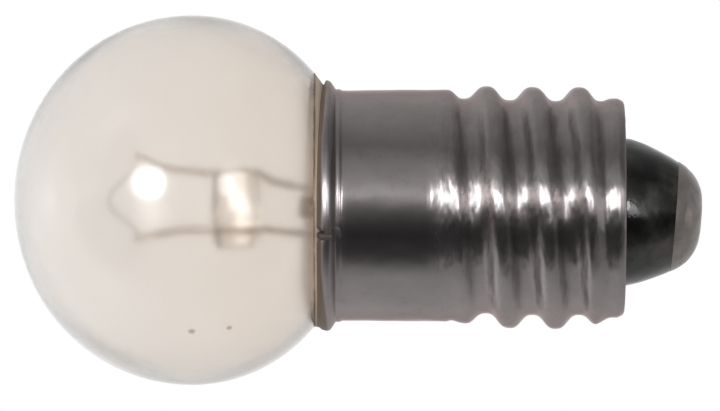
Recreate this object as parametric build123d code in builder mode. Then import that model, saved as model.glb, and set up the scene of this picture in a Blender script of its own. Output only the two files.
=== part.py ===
# Miniature incandescent bulb with an E10 screw base and a G-4 1/2 globe.
#
# +Z runs along the axis of the screw base, from the centre contact (lowest point, z = 0) to the
# top of the globe. The blown bulb leans a little in its cement, and the nose of the base leans
# the other way, as on the bulb that this follows. All sizes are in millimetres.

import os
from math import cos, radians, sin, tan

from build123d import *

# Rolled screw thread: E10, right-handed, 14 turns to the inch
thread_pitch = 25.4 / 14
thread_major_d = 9.44
thread_minor_d = 8.36
thread_crest_z = 4.82  # height of a crest on the +X side
sections_per_turn = 6
root_runout = 0.65  # height over which the root runs out into the skirt
crest_runout = 2.0
end_root_runout = 0.45  # and into the band at the end
end_crest_runout = 1.05

# Drawn sheet of the base shell
sheet = 0.20
skirt_d = 8.97
skirt_thread_end_d = 9.06
skirt_bottom_z = 10.05
thread_bottom_z = 3.50
end_band_d = 8.56
end_z = 3.06
rim_d = 9.78
flare_depth = 0.72  # from the rim down to where the skirt flares
flare_height = 0.38
flare_bend = 0.25
rim_peak_z = 14.68
end_turn_in = 0.30  # how far the end turns in before it is flat
end_turn_rise = 0.16
rim_chamfer = 0.07

# Nose: black glass insulator, centre contact and solder
nose_tilt = 4.4  # degrees, tip towards -X
nose_shift = -0.22  # where the nose's axis crosses the end of the shell
nose_d = 5.80
nose_waist_d = 5.34
nose_waist_z = 2.25
nose_clearance = 0.03
insulator_depth = 1.29  # how far it stands inside the shell's end
insulator_clearance = 0.04
lead_bore_d = 0.8
contact_z = 1.09
contact_plate = 0.36
contact_hole_d = 1.0
eyelet_wall = 0.16
eyelet_length = 1.1
solder_flat_d = 1.1
solder_round_r = 1.73
solder_fill = 1.2  # how far solder runs up inside the eyelet

# Blown bulb
globe_d = 14.44
crown_rise = 6.95  # from the widest circle to the top
shoulder_r = 6.84
glass_side_r = 6.16
glass_overhang = 0.28  # how far the glass stands out over the shell's inside where it leaves the cement
glass_wall = 0.36
neck_d = 6.6
seal_depth = 2.68  # from the rim down to the bottom of the seal
seal_corner = 0.6
exhaust_x = -0.20
exhaust_d = 0.9
exhaust_bore_d = 0.4
exhaust_stand = 1.55  # how far its tube stands inside the globe
tip_off_reach = 2.4  # from the seal down to its closed tip
tip_off_length = 1.2
tip_off_wall = 1.0
lean = 0.97  # degrees
lean_heading = 45  # degrees from +X towards +Y
lean_height = 2.6  # where the bulb's axis crosses the base's axis

# Mount inside the globe
wire_d = 0.24
wire_bend = 0.4
bead_length = 3.1
bead_d = 2.2
bead_round = 0.52
bead_x = -0.36
bead_drop = 1.73  # below the widest circle
filament_d = 0.2
filament_bend = 0.6
clamp_length = 0.95
clamp_width = 0.56
clamp_thickness = 0.30
clamp_corner = 0.1
lead_end_h = 0.45  # the contact lead's end, along the nose
lead_room = 0.2  # between the shell lead and the seal that it turns out under

# Joins
cement_inset = 0.14  # from the rim in to the cement's edge
cement_rise = 0.39  # above the rim
cement_depth = 2.08  # below the rim
side_joint_heading = -104  # degrees from +X, where the lead crosses the rim
side_joint_play = 0.015  # between the lead and the shell that it goes over
side_solder_d = 0.84
side_solder_drop = 0.51  # below the rim
side_solder_inward = 0.18  # how far inside the rim's radius the drop is centred

os.makedirs("parts", exist_ok=True)

rim_r = rim_d / 2
rim_top_z = rim_peak_z + sheet / 2
wire_r = wire_d / 2
globe_r = globe_d / 2
neck_r = neck_d / 2
flare_z = rim_top_z - flare_depth
cement_top_z = rim_top_z + cement_rise
insulator_top_z = end_z + insulator_depth
side_solder_z = rim_top_z - side_solder_drop

# The side of the globe is one arc, upright at the widest circle, through the edge of the cement
side_x = globe_r - glass_side_r
seat_x = rim_r - sheet + glass_overhang - side_x
equator_z = cement_top_z + (glass_side_r**2 - seat_x**2) ** 0.5
crown_z = equator_z + crown_rise
neck_join_z = equator_z - (glass_side_r**2 - (neck_r - side_x) ** 2) ** 0.5
floor_z = equator_z - glass_side_r + glass_wall
seal_bottom_z = rim_top_z - seal_depth
tip_off_z = seal_bottom_z - tip_off_reach
tip_top_z = tip_off_z + tip_off_length
exhaust_side = exhaust_x + exhaust_d / 2
tilt = radians(nose_tilt)
slant = radians(lean)
turn = radians(lean_heading)

# The leaning axis of the blown bulb; heights along it read as heights above the tip
lean_dir = Vector(sin(slant) * cos(turn), sin(slant) * sin(turn), cos(slant))
bulb_plane = Plane(
    origin=Vector(0, 0, lean_height) - lean_dir * lean_height,
    x_dir=(lean_dir.Z, 0, -lean_dir.X),
    z_dir=lean_dir,
)
bulb_section = Plane(bulb_plane.origin, x_dir=bulb_plane.x_dir, z_dir=-bulb_plane.y_dir)
bulb_axis = Axis(bulb_plane.origin, bulb_plane.z_dir)

# The leaning axis of the nose; heights along it read the same way
nose_dir = Vector(sin(tilt), 0, cos(tilt))
nose_plane = Plane(
    origin=Vector(nose_shift, 0, end_z) - nose_dir * end_z,
    x_dir=(cos(tilt), 0, -sin(tilt)),
    z_dir=nose_dir,
)
nose_section = Plane(nose_plane.origin, x_dir=nose_plane.x_dir, z_dir=-nose_plane.y_dir)
nose_axis = Axis(nose_plane.origin, nose_plane.z_dir)
solder_flat_r = solder_flat_d / 2
tip_h = end_z - solder_round_r + (solder_round_r + solder_flat_r * sin(tilt) - end_z) / cos(tilt)
dome_h = contact_z - tip_h
contact_r = solder_flat_r + (2 * solder_round_r * dome_h - dome_h**2) ** 0.5
eyelet_r = contact_hole_d / 2 + eyelet_wall
end_hole_r = nose_d / 2 + nose_clearance


def on_bulb(x, z, y=0.0):
    """A point given in the bulb's own leaning frame."""
    return bulb_plane.from_local_coords(Vector(x, y, z))


def in_globe(x, up):
    """A point of the mount, by its height from the globe's widest circle."""
    return on_bulb(x, equator_z + up)


def around(heading, radius, z):
    """A point on the base, by its heading from +X, its radius and its height."""
    return Vector(radius * cos(radians(heading)), radius * sin(radians(heading)), z)


def bend_radii(points, largest):
    """A radius for each corner of a wire's route, held to what its two runs allow."""
    runs = [b - a for a, b in zip(points, points[1:])]
    radii = []
    for before, after in zip(runs, runs[1:]):
        half_turn = radians(before.get_angle(after)) / 2
        radii.append(min(largest, 0.45 * min(before.length, after.length) / tan(half_turn)))
    return radii


def ease(t):
    """A smooth step from 0 to 1."""
    t = min(max(t, 0.0), 1.0)
    return t * t * (3 - 2 * t)


def root_r(z):
    """Radius to the thread's root, which runs out into the skirt and into the end band."""
    minor_r = thread_minor_d / 2
    up = ease((z - skirt_bottom_z + root_runout) / root_runout)
    down = ease((thread_bottom_z + end_root_runout - z) / end_root_runout)
    return minor_r + (skirt_thread_end_d / 2 - minor_r) * up + (end_band_d / 2 - minor_r) * down


def crest_r(z):
    """Radius to the thread's crest, which runs out the same way."""
    major_r = thread_major_d / 2
    up = ease((z - skirt_bottom_z + crest_runout) / crest_runout)
    down = ease((thread_bottom_z + end_crest_runout - z) / end_crest_runout)
    return major_r - (major_r - skirt_thread_end_d / 2) * up - (major_r - end_band_d / 2) * down


def shell_form(inset):
    """The solid form inside the shell's outer surface, or inside its inner one; the flare is sharp."""
    length = skirt_bottom_z - thread_bottom_z
    steps = round(length / thread_pitch * sections_per_turn)
    flare_r = rim_d / 2 - inset
    band_r = end_band_d / 2 - inset
    flare_low = flare_z + inset / 2
    with BuildPart() as form:
        # A circle set off the axis and turned about it traces a one-start rolled thread
        for step in range(steps + 1):
            z = thread_bottom_z + length * step / steps
            offset_r = (crest_r(z) - root_r(z)) / 2
            heading = 360 * (z - thread_crest_z) / thread_pitch
            with BuildSketch(Plane.XY.offset(z)):
                with PolarLocations(offset_r, 1, start_angle=heading, rotate=False):
                    Circle((crest_r(z) + root_r(z)) / 2 - inset)
        loft(ruled=True)
        # Skirt and flared rim above it
        with BuildSketch(Plane.XZ):
            with BuildLine():
                Polyline(
                    (0, skirt_bottom_z),
                    (skirt_thread_end_d / 2 - inset, skirt_bottom_z),
                    (skirt_d / 2 - inset, flare_low),
                    (flare_r, flare_low + flare_height),
                    (flare_r, rim_top_z),
                    (0, rim_top_z),
                    close=True,
                )
            make_face()
        revolve(axis=Axis.Z)
        # Turned-in end below it
        with BuildSketch(Plane.XZ):
            with BuildLine():
                Polyline(
                    (0, end_z + inset),
                    (band_r - end_turn_in, end_z + inset),
                    (band_r, end_z + inset + end_turn_rise),
                    (band_r, thread_bottom_z),
                    (0, thread_bottom_z),
                    close=True,
                )
            make_face()
        revolve(axis=Axis.Z)
    return form.part


# Base shell: thin sheet drawn to a cup, flared at the rim, pierced at the end, thread rolled in
shell_inside = shell_form(sheet)
with BuildPart() as shell_outside:
    add(shell_form(0))
    circles = shell_outside.edges().filter_by(GeomType.CIRCLE)
    fillet(circles.filter_by_position(Axis.Z, flare_z, flare_z + flare_height), flare_bend)
with BuildPart() as base_shell:
    add(shell_outside.part)
    add(shell_inside, mode=Mode.SUBTRACT)
    with Locations((nose_shift, 0, end_z)):
        Cylinder(end_hole_r, 4 * sheet, mode=Mode.SUBTRACT)
    chamfer(base_shell.edges().filter_by(GeomType.CIRCLE).group_by(Axis.Z)[-1], rim_chamfer)
base_shell.part.label = "base_shell"

# Filament: the envelope of the coil, an arch from clamp to clamp
filament_points = [
    in_globe(-1.58, 1.87),
    in_globe(-0.98, 2.40),
    in_globe(-0.42, 3.21),
    in_globe(0.18, 3.33),
    in_globe(0.60, 2.87),
    in_globe(1.08, 2.43),
    in_globe(1.80, 2.15),
]
with BuildPart() as filament:
    with BuildLine():
        FilletPolyline(*filament_points, radius=bend_radii(filament_points, filament_bend))
    with BuildSketch(Plane(filament_points[0], z_dir=filament_points[1] - filament_points[0])):
        Circle(filament_d / 2)
    sweep()
filament.part.label = "filament"


def clamp(tip, heading):
    """A lead's flattened end, folded over a filament leg, and its foot; heading is from +Z."""
    lean_over = radians(heading)
    along = on_bulb(sin(lean_over), cos(lean_over)) - on_bulb(0, 0)
    across = Plane(tip, x_dir=bulb_plane.y_dir, z_dir=along)
    with BuildPart() as blade:
        with BuildSketch(across.offset(-clamp_length)):
            Circle(wire_r)
        with BuildSketch(across):
            RectangleRounded(clamp_thickness, clamp_width, clamp_corner)
        loft()
    return blade.part, tip - along * clamp_length


# Contact lead: from its clamp through the bead and the seal to the centre contact
contact_clamp, contact_clamp_foot = clamp(in_globe(1.86, 2.32), 27)
contact_lead_points = [
    contact_clamp_foot,
    in_globe(1.17, 0.82),
    in_globe(1.02, -0.53),
    in_globe(1.12, -2.63),
    in_globe(0.80, -3.13),
    in_globe(0.42, -4.73),
    on_bulb(1.20, seal_bottom_z - 0.5),
    Vector(0.60, 0, tip_off_z - 1.5),
    nose_plane.from_local_coords(Vector(0, 0, insulator_top_z + 1.05)),
    nose_plane.from_local_coords(Vector(0, 0, lead_end_h)),
]
with BuildPart() as contact_lead:
    add(contact_clamp)
    with BuildLine():
        FilletPolyline(*contact_lead_points, radius=bend_radii(contact_lead_points, wire_bend))
    with BuildSketch(Plane(contact_clamp_foot, z_dir=contact_lead_points[1] - contact_clamp_foot)):
        Circle(wire_r)
    sweep()
    add(filament.part, mode=Mode.SUBTRACT)
contact_lead.part.label = "contact_lead"

# Shell lead: from its clamp through the bead and the seal, then up between neck and shell, over
# the rim and down to its solder
gap_r = (neck_r + skirt_d / 2 - sheet) / 2
loop_r = sheet / 2 + wire_r + side_joint_play
loop_in_r = rim_r - sheet / 2 - loop_r
loop_out_r = rim_r - sheet / 2 + loop_r
loop_top_z = rim_top_z + wire_r + side_joint_play
shell_clamp, shell_clamp_foot = clamp(in_globe(-1.62, 2.27), -16)
shell_lead_points = [
    shell_clamp_foot,
    in_globe(-1.18, 0.37),
    in_globe(-1.13, -3.03),
    in_globe(-1.27, -4.73),
    on_bulb(-1.36, seal_bottom_z - 3 * lead_room),
    around(side_joint_heading, gap_r, seal_bottom_z - lead_room),
    around(side_joint_heading, gap_r, flare_z),
    around(side_joint_heading, loop_in_r, loop_top_z),
    around(side_joint_heading, loop_out_r, loop_top_z),
    around(side_joint_heading, loop_out_r, side_solder_z + wire_r / 2),
]
with BuildPart() as shell_lead:
    add(shell_clamp)
    with BuildLine():
        FilletPolyline(*shell_lead_points, radius=bend_radii(shell_lead_points, wire_bend))
    with BuildSketch(Plane(shell_clamp_foot, z_dir=shell_lead_points[1] - shell_clamp_foot)):
        Circle(wire_r)
    sweep()
    add(filament.part, mode=Mode.SUBTRACT)
shell_lead.part.label = "shell_lead"

# Glass bead: a pellet fused round both leads to hold them apart
with BuildPart() as glass_bead:
    with BuildSketch(bulb_section):
        with Locations((bead_x, equator_z - bead_drop)):
            RectangleRounded(bead_length, bead_d, bead_round)
            Rectangle(bead_length, bead_d, align=(Align.CENTER, Align.MAX), mode=Mode.SUBTRACT)
    revolve(axis=Axis(in_globe(0, -bead_drop), bulb_plane.x_dir))
    add(contact_lead.part, mode=Mode.SUBTRACT)
    add(shell_lead.part, mode=Mode.SUBTRACT)
glass_bead.part.label = "glass_bead"


def globe_outline(inset):
    """Three tangent arcs from the crown to the neck side, moved in by a wall; returns both ends."""
    shoulder_x = globe_r - shoulder_r
    crown_r = (shoulder_r**2 - crown_rise**2 - shoulder_x**2) / (2 * (shoulder_r - crown_rise))
    crown_centre = Vector(0, crown_z - crown_r)
    shoulder_centre = Vector(shoulder_x, equator_z)
    join_dir = (shoulder_centre - crown_centre).normalized()
    half_turn = join_dir.get_angle(Vector(0, 1)) / 2
    crown_mid = crown_centre + Vector(0, crown_r - inset).rotate(Axis.Z, -half_turn)
    join = crown_centre + join_dir * (crown_r - inset)
    top = Vector(0, crown_z - inset)
    side = Vector(globe_r - inset, equator_z)
    ThreePointArc(top, crown_mid, join)
    TangentArc(join, side, tangent=Vector(join_dir.Y, -join_dir.X))
    return top, side


# Outer form of the blown bulb, before it is hollow: globe, neck and butt seal
with BuildPart() as blown_form:
    with BuildSketch(bulb_section):
        with BuildLine():
            top, side = globe_outline(0)
            RadiusArc(side, (neck_r, neck_join_z), glass_side_r)
            Polyline(
                (neck_r, neck_join_z),
                (neck_r, seal_bottom_z + seal_corner),
                (neck_r - seal_corner, seal_bottom_z),
                (0, seal_bottom_z),
                top,
            )
        make_face()
    revolve(axis=bulb_axis)

# Blown bulb: globe, neck, butt seal and exhaust tip, drawn from one piece of tube
with BuildPart() as glass_bulb:
    add(blown_form.part)
    with BuildSketch(bulb_section):
        with BuildLine():
            top, side = globe_outline(glass_wall)
            RadiusArc(side, (side_x, floor_z), glass_side_r - glass_wall)
            Polyline((side_x, floor_z), (0, floor_z), top)
        make_face()
    revolve(axis=bulb_axis, mode=Mode.SUBTRACT)
    # The exhaust tube joins at the seal; it stands a little way in, and outside it is tipped off
    with BuildSketch(bulb_plane.offset(tip_top_z)):
        with Locations((exhaust_x, 0)):
            Circle(exhaust_d / 2)
    extrude(amount=floor_z + exhaust_stand - tip_top_z)
    with BuildSketch(bulb_section):
        with BuildLine():
            Spline((exhaust_x, tip_off_z), (exhaust_side, tip_top_z), tangents=((1, 0.2), (0, 1)))
            Polyline((exhaust_side, tip_top_z), (exhaust_x, tip_top_z), (exhaust_x, tip_off_z))
        make_face()
    revolve(axis=Axis(on_bulb(exhaust_x, 0), bulb_plane.z_dir))
    with BuildSketch(bulb_plane.offset(tip_off_z + tip_off_wall)):
        with Locations((exhaust_x, 0)):
            Circle(exhaust_bore_d / 2)
    extrude(amount=floor_z + exhaust_stand - tip_off_z, mode=Mode.SUBTRACT)
    add(contact_lead.part, mode=Mode.SUBTRACT)
    add(shell_lead.part, mode=Mode.SUBTRACT)
glass_bulb.part.label = "glass_bulb"

# Basing cement: fills the shell round the neck and shows as a ring above the rim
with BuildPart() as basing_cement:
    with BuildSketch(Plane.XY.offset(rim_top_z - cement_depth)):
        Circle(rim_r)
    extrude(amount=cement_depth)
    add(shell_inside, mode=Mode.INTERSECT)
    with BuildSketch(Plane.XY.offset(rim_top_z)):
        Circle(rim_r - cement_inset)
    extrude(amount=cement_rise)
    add(blown_form.part, mode=Mode.SUBTRACT)
    add(base_shell.part, mode=Mode.SUBTRACT)
    add(shell_lead.part, mode=Mode.SUBTRACT)
basing_cement.part.label = "basing_cement"

# Insulator: black glass run into the end of the shell and pressed to a blunt nose
with BuildPart() as insulator:
    with BuildSketch(nose_section):
        with BuildLine():
            Spline((nose_d / 2, end_z), (nose_waist_d / 2, nose_waist_z), (contact_r, contact_z))
            Polyline(
                (contact_r, contact_z),
                (0, contact_z),
                (0, end_z + 2 * sheet),
                (nose_d / 2, end_z + 2 * sheet),
                (nose_d / 2, end_z),
            )
        make_face()
    revolve(axis=nose_axis)
    with BuildSketch(Plane.XY.offset(end_z + sheet)):
        Circle(end_band_d / 2 - end_turn_in - sheet - insulator_clearance)
    extrude(amount=insulator_top_z - end_z - sheet)
    with BuildSketch(nose_plane.offset(contact_z)):
        Circle(lead_bore_d / 2)
    extrude(amount=2 * insulator_top_z, mode=Mode.SUBTRACT)
    with BuildSketch(nose_plane.offset(contact_z)):
        Circle(eyelet_r)
    extrude(amount=eyelet_length, mode=Mode.SUBTRACT)
insulator.part.label = "insulator"


def tip_dome(low, high):
    """The rounded end of the nose between two heights; one curve bounds plate and solder."""
    with BuildPart() as dome:
        with BuildSketch(nose_section):
            with BuildLine():
                RadiusArc((solder_flat_r, tip_h), (contact_r, contact_z), -solder_round_r)
                Polyline((contact_r, contact_z), (0, contact_z), (0, tip_h), (solder_flat_r, tip_h))
            make_face()
            with Locations((0, low)):
                Rectangle(2 * contact_r, high - low, align=(Align.MIN, Align.MIN), mode=Mode.INTERSECT)
        revolve(axis=nose_axis)
    return dome.part


plate_low = contact_z - contact_plate

# Centre contact: a dished plate with its eyelet drawn up into the insulator
with BuildPart() as centre_contact:
    add(tip_dome(plate_low, contact_z))
    with BuildSketch(nose_plane.offset(contact_z)):
        Circle(eyelet_r)
    extrude(amount=eyelet_length)
    with BuildSketch(nose_plane.offset(plate_low)):
        Circle(contact_hole_d / 2)
    extrude(amount=contact_plate + eyelet_length, mode=Mode.SUBTRACT)
centre_contact.part.label = "centre_contact"

# Tip solder: a dome that closes the eyelet on the end of the contact lead
with BuildPart() as tip_solder:
    add(tip_dome(tip_h, plate_low))
    with BuildSketch(nose_plane.offset(plate_low)):
        Circle(contact_hole_d / 2)
    extrude(amount=solder_fill)
    add(contact_lead.part, mode=Mode.SUBTRACT)
tip_solder.part.label = "tip_solder"

# Side solder: a drop that holds the end of the shell lead under the rim
with BuildPart() as side_solder:
    with Locations(around(side_joint_heading, rim_r - side_solder_inward, side_solder_z)):
        Sphere(side_solder_d / 2)
    add(shell_outside.part, mode=Mode.SUBTRACT)
    add(shell_lead.part, mode=Mode.SUBTRACT)
side_solder.part.label = "side_solder"

pieces = (
    glass_bulb,
    glass_bead,
    filament,
    contact_lead,
    shell_lead,
    base_shell,
    basing_cement,
    insulator,
    centre_contact,
    tip_solder,
    side_solder,
)
for piece in pieces:
    export_step(piece.part, f"parts/{piece.part.label}.step")
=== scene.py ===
import math

import bpy
from mathutils import Matrix, Vector, noise


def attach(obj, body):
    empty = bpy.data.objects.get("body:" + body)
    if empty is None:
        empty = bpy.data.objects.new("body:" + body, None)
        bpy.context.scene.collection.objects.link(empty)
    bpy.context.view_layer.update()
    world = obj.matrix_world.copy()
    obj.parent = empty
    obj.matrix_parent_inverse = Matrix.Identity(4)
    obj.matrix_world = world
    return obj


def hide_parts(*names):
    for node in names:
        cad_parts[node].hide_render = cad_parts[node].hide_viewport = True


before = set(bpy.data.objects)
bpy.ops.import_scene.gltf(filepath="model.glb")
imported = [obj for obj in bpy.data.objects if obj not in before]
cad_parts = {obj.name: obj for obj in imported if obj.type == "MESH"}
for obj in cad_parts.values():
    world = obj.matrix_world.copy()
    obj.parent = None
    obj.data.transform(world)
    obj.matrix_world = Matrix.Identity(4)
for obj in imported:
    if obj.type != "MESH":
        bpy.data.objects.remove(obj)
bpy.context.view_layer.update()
print("frame loaded with", len(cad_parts), "nodes")

scene = bpy.context.scene


def hexToLinear(code):
    channels = [int(code[i:i + 2], 16) / 255 for i in (1, 3, 5)]
    linear = [c / 12.92 if c <= 0.04045 else ((c + 0.055) / 1.055) ** 2.4 for c in channels]
    return (*linear, 1.0)


def perSize(mm):
    return 1000 / mm  # texture scale for a feature of this size, where places are in metres


def addNode(tree, kind, settings=None):
    # settings are the node's own, or its inputs': a plain value, or another node's output to link
    node = tree.nodes.new("ShaderNode" + kind)
    for key, value in (settings or {}).items():
        if key == "stops":  # of a colour ramp: position, then a grey or a hex colour
            elements = node.color_ramp.elements
            while len(elements) < len(value):
                elements.new(1)
            for element, (position, tone) in zip(elements, value):
                element.position = position
                element.color = hexToLinear(tone) if isinstance(tone, str) else (tone, tone, tone, 1)
        elif isinstance(key, str) and hasattr(node, key):
            setattr(node, key, value)
        elif isinstance(value, bpy.types.NodeSocket):
            tree.links.new(value, node.inputs[key])
        else:
            node.inputs[key].default_value = value
    return node


def newMaterial(name):
    material = bpy.data.materials.new(name)
    material.use_nodes = True
    tree = material.node_tree
    tree.nodes.clear()
    output = addNode(tree, "OutputMaterial")
    place = addNode(tree, "TexCoord").outputs["Object"]
    return material, tree, output, place


def coat(tree, output, settings):
    # one shader over the whole piece
    shader = addNode(tree, "BsdfPrincipled", settings)
    tree.links.new(shader.outputs["BSDF"], output.inputs["Surface"])


def maths(tree, operation, *values):
    return addNode(tree, "Math", {"operation": operation, **dict(enumerate(values))}).outputs["Value"]


def along(tree, place, axis):
    # a coordinate, in mm
    return maths(tree, "MULTIPLY", addNode(tree, "SeparateXYZ", {"Vector": place}).outputs[axis], 1000)


def spread(tree, source, start, end, low=0, high=1):
    # the source's way from start to end, turned into low to high
    settings = {"Value": source, "From Min": start, "From Max": end, "To Min": low, "To Max": high}
    return addNode(tree, "MapRange", settings).outputs["Result"]


def ramp(tree, source, *stops):
    return addNode(tree, "ValToRGB", {"stops": stops, "Fac": source}).outputs["Color"]


def mixed(tree, share, first, second, blend="MIX"):
    settings = {"data_type": "RGBA", "blend_type": blend, "Factor": share, 6: first, 7: second}
    return addNode(tree, "Mix", settings).outputs[2]


def grain(tree, place, size, detail, **more):
    # noise whose features have this size in mm
    settings = {"Vector": place, "Scale": perSize(size), "Detail": detail, **more}
    return addNode(tree, "TexNoise", settings).outputs["Fac"]


def drawnGrain(tree, place, sizes, detail):
    # noise with a size in mm along each axis
    scales = tuple(perSize(size) for size in sizes)
    drawn = addNode(tree, "Mapping", {"Vector": place, "Scale": scales}).outputs["Vector"]
    return addNode(tree, "TexNoise", {"Vector": drawn, "Scale": 1.0, "Detail": detail}).outputs["Fac"]


def bumped(tree, height, strength, depth, normal=None):
    # relief of this depth in mm, over an earlier relief if there is one
    settings = {"Height": height, "Strength": strength, "Distance": depth / 1000}
    if normal is not None:
        settings["Normal"] = normal
    return addNode(tree, "Bump", settings).outputs["Normal"]


def ease(t):
    t = min(max(t, 0), 1)
    return t * t * (3 - 2 * t)


# shapes, all in mm until a mesh is made
def ringPoints(radius, height, columns, centre=(0, 0)):
    x, y = centre
    if radius <= 0:
        return [Vector((x, y, height))]
    turns = [2 * math.pi * i / columns for i in range(columns)]
    return [Vector((x + radius * math.cos(t), y + radius * math.sin(t), height)) for t in turns]


def arcPoints(centre, radius, start, end, steps):
    angles = [math.radians(start + (end - start) * i / steps) for i in range(steps + 1)]
    return [(centre[0] + radius * math.cos(a), centre[1] + radius * math.sin(a)) for a in angles]


def roundedRoute(corners, radius, steps=6):
    # straight runs with each corner rounded, in 2-D or 3-D
    corners = [Vector(c) for c in corners]
    route = [corners[0]]
    for before, corner, after in zip(corners, corners[1:], corners[2:]):
        inward, paintedShadeFade = corner - before, after - corner
        halfTurn = inward.angle(paintedShadeFade) / 2
        cut = min(radius * math.tan(halfTurn), 0.45 * min(inward.length, paintedShadeFade.length))
        start, end = corner - inward.normalized() * cut, corner + paintedShadeFade.normalized() * cut
        for i in range(steps + 1):
            t = i / steps
            route.append(start * (1 - t) ** 2 + corner * 2 * t * (1 - t) + end * t * t)
    return route + [corners[-1]]


def evenSteps(route, step):
    # the same route in steps of one length
    lengths = [0]
    for a, b in zip(route, route[1:]):
        lengths.append(lengths[-1] + (b - a).length)
    count = max(2, round(lengths[-1] / step))
    points, k = [], 0
    for i in range(count + 1):
        at = lengths[-1] * i / count
        while k < len(route) - 2 and lengths[k + 1] < at:
            k += 1
        span = max(lengths[k + 1] - lengths[k], 1e-9)
        points.append(route[k].lerp(route[k + 1], (at - lengths[k]) / span))
    return points


def carriedFrames(points, firstSide):
    # a frame at each point, carried along without twist
    frames, side = [], firstSide.normalized()
    for i, point in enumerate(points):
        tangent = (points[min(i + 1, len(points) - 1)] - points[max(i - 1, 0)]).normalized()
        side = (side - tangent * side.dot(tangent)).normalized()
        frames.append((point, side, tangent.cross(side), tangent))
    return frames


def sweptRings(frames, section, columns):
    # section gives half width, half thickness and squareness at a share of the length
    rings = []
    for i, (point, side, other, _) in enumerate(frames):
        width, thickness, square = section(i / (len(frames) - 1))
        ring = []
        for k in range(columns):
            turn = 2 * math.pi * k / columns
            c, s = math.cos(turn), math.sin(turn)
            ring.append(point + side * (width * math.copysign(abs(c) ** square, c))
                        + other * (thickness * math.copysign(abs(s) ** square, s)))
        rings.append(ring)
    rings = [[frames[0][0]]] + rings + [[frames[-1][0]]]
    return rings[::-1]


def latheRings(profile, columns, wobble=None):
    # profile runs from the top down on an outer surface, so that faces look outward
    rings = []
    for radius, height in profile:
        ring = ringPoints(radius, height, columns)
        rings.append([wobble(p) for p in ring] if wobble else ring)
    return rings


def buildPiece(name, stacks, material, place=None, closed=False, crease=40):
    vertices, faces = [], []
    for rings in stacks:
        starts = []
        for ring in rings:
            starts.append(len(vertices))
            vertices += [(place @ p if place else p) * 0.001 for p in ring]
        order = list(range(len(rings))) + ([0] if closed else [])
        for a, b in zip(order, order[1:]):
            upper, lower = rings[a], rings[b]
            count = max(len(upper), len(lower))
            for i in range(count):
                j = (i + 1) % count
                face = [starts[a] + i % len(upper), starts[b] + i % len(lower),
                        starts[b] + j % len(lower), starts[a] + j % len(upper)]
                face = [v for n, v in enumerate(face) if v not in face[:n]]
                if len(face) > 2:
                    faces.append(face)
    mesh = bpy.data.meshes.new(name)
    mesh.from_pydata(vertices, [], faces)
    mesh.polygons.foreach_set("use_smooth", [True] * len(mesh.polygons))
    mesh.set_sharp_from_angle(angle=math.radians(crease))
    mesh.materials.append(material)
    piece = bpy.data.objects.new(name, mesh)
    scene.collection.objects.link(piece)
    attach(piece, "root")
    print("built", name, "with", len(faces), "faces")
    return piece


# frames of the part: the blown bulb and the nose each lean their own way
leanings = {
    "bulbLean": 0.97,  # degrees
    "bulbHeading": 45,  # degrees from +X towards +Y
    "bulbCrossing": 2.6,  # height where the bulb's axis crosses the base's
    "noseTilt": 4.4,
    "noseShift": -0.28,
    "noseCrossing": 3.06,
}


def leaningFrame(direction, crossing):
    side = Vector((direction.z, 0, -direction.x)).normalized()
    columns = Matrix((side, direction.cross(side), direction)).transposed()
    return Matrix.Translation(crossing - direction * crossing.z) @ columns.to_4x4()


lean = math.radians(leanings["bulbLean"])
heading = math.radians(leanings["bulbHeading"])
bulbDirection = Vector((math.sin(lean) * math.cos(heading), math.sin(lean) * math.sin(heading),
                        math.cos(lean)))
bulbFrame = leaningFrame(bulbDirection, Vector((0, 0, leanings["bulbCrossing"])))
noseAngle = math.radians(leanings["noseTilt"])
noseDirection = Vector((math.sin(noseAngle), 0, math.cos(noseAngle)))
noseFrame = leaningFrame(noseDirection, Vector((leanings["noseShift"], 0, leanings["noseCrossing"])))
bulbSide = bulbFrame.to_3x3() @ Vector((0, 1, 0))


def onBulb(x, z, y=0):
    return bulbFrame @ Vector((x, y, z))


def onBase(headingDegrees, radius, z):
    turn = math.radians(headingDegrees)
    return Vector((radius * math.cos(turn), radius * math.sin(turn), z))


# shape of the blown bulb, which the rim and the cement follow
glassSizes = {
    "top": 26.88,
    "equator": 19.93,
    "globeRadius": 7.22,
    "shoulderRadius": 6.84,
    "sideRadius": 6.16,
    "wall": 0.36,
    "neckRadius": 3.3,
    "sealBottom": 12.1,
    "sealCorner": 0.6,
    "exhaustX": -0.20,
    "exhaustRadius": 0.45,
    "boreRadius": 0.2,
    "exhaustTop": 15.68,
    "tipOff": 9.7,
    "columns": 160,
    "waves": 0.035,  # how uneven the blown wall is inside
}


def globeProfile(inset):
    # crown, shoulder and side arcs, from the pole down
    s = glassSizes
    rise = s["top"] - s["equator"]
    shoulderX = s["globeRadius"] - s["shoulderRadius"]
    crown = (s["shoulderRadius"] ** 2 - rise ** 2 - shoulderX ** 2) / (2 * (s["shoulderRadius"] - rise))
    join = math.degrees(math.atan2(s["equator"] - s["top"] + crown, shoulderX))
    points = arcPoints((0, s["top"] - crown), crown - inset, 90, join, 22)
    points += arcPoints((shoulderX, s["equator"]), s["shoulderRadius"] - inset, join, 0, 30)[1:]
    points[0] = (0, points[0][1])
    return points


def sideProfile(inset, endHeight):
    s = glassSizes
    centre = (s["globeRadius"] - s["sideRadius"], s["equator"])
    radius = s["sideRadius"] - inset
    end = math.degrees(math.asin((endHeight - s["equator"]) / radius))
    return arcPoints(centre, radius, 0, end, 34)[1:]


def neckHeight():
    s = glassSizes
    reach = s["neckRadius"] - s["globeRadius"] + s["sideRadius"]
    return s["equator"] - math.sqrt(s["sideRadius"] ** 2 - reach ** 2)


def glassRadius(z):
    # outside of the neck and lower globe at a height of its own frame
    s = glassSizes
    if z < neckHeight():
        return s["neckRadius"]
    return s["globeRadius"] - s["sideRadius"] + math.sqrt(s["sideRadius"] ** 2 - (s["equator"] - z) ** 2)


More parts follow.
